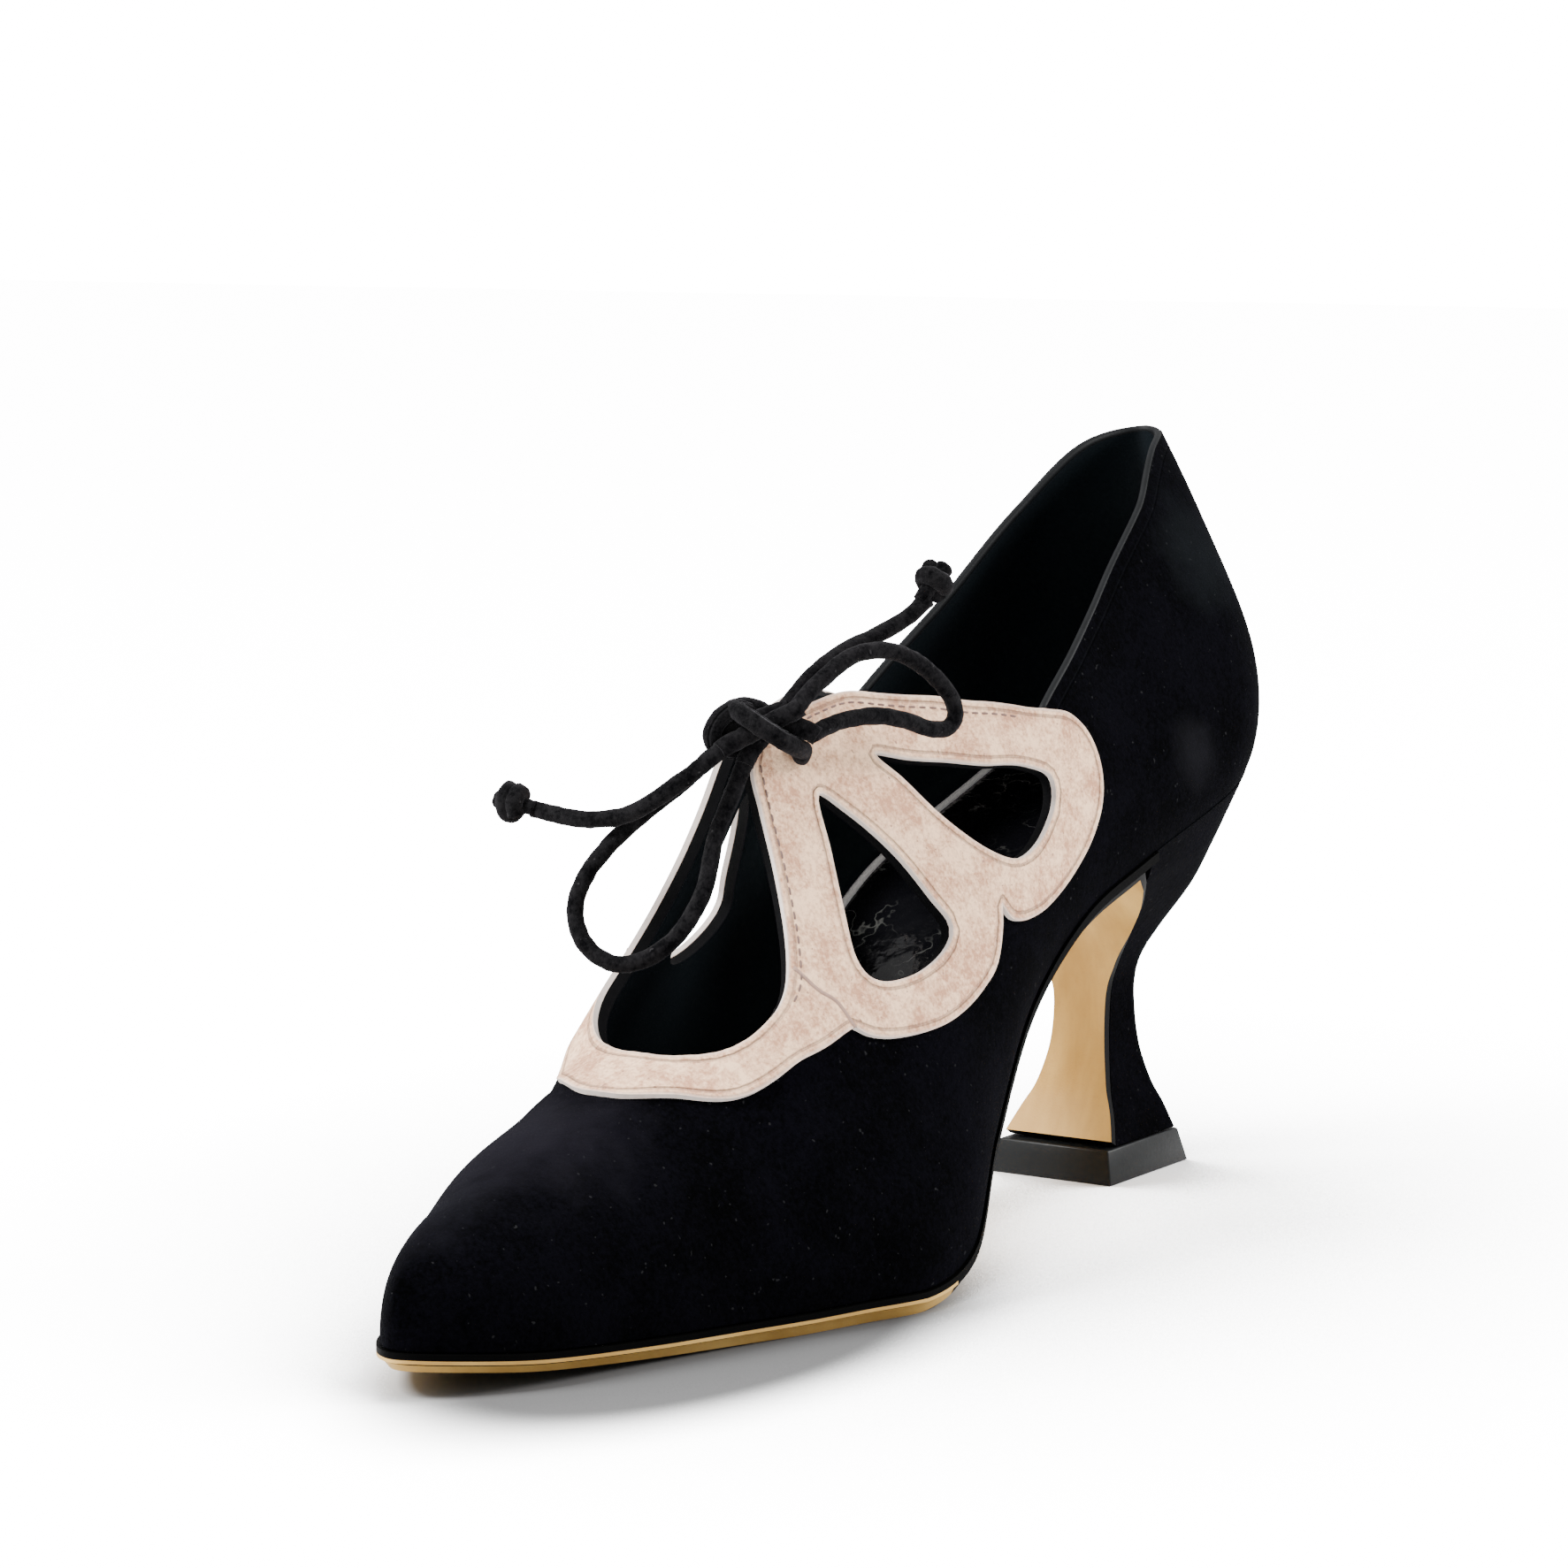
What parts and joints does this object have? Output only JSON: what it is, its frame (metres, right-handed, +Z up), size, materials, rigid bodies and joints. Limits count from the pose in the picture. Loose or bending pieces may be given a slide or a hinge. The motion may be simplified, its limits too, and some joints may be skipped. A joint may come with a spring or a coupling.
{
  "type": "heeled derby shoe",
  "caption": "Heeled derby shoe with a pointed toe, cut-out petal wings tied by a cord bow over an open throat, a waisted heel and a square tread.",
  "frame": {"origin": "middle of the heel's tread face, on the floor", "axes": "-Y runs towards the toe, +X is the wearer's left, +Z is up"},
  "size_m": [0.0769, 0.2481, 0.1419],
  "materials": {
    "black_suede": "matt black suede",
    "blush_suede": "matt blush suede",
    "glossy_leather": "glossy black",
    "edge_ink": "satin black ink",
    "sole_leather": "smooth beige sole leather",
    "top_piece": "satin near-black",
    "cord": "matt black cord"
  },
  "bodies": {
    "root": {"upper": "black_suede", "petal_overlay": "blush_suede", "insole": "glossy_leather", "sole_rand": "edge_ink", "outsole": "sole_leather", "heel": "black_suede", "top_piece": "top_piece", "lace_knot": "cord", "lace_crossing": "cord", "lace_loop_a": "cord", "lace_loop_b": "cord", "lace_end_a": "cord", "lace_end_b": "cord", "lace_end_a_knot": "cord", "lace_end_b_knot": "cord"}
  },
  "joints": []
}
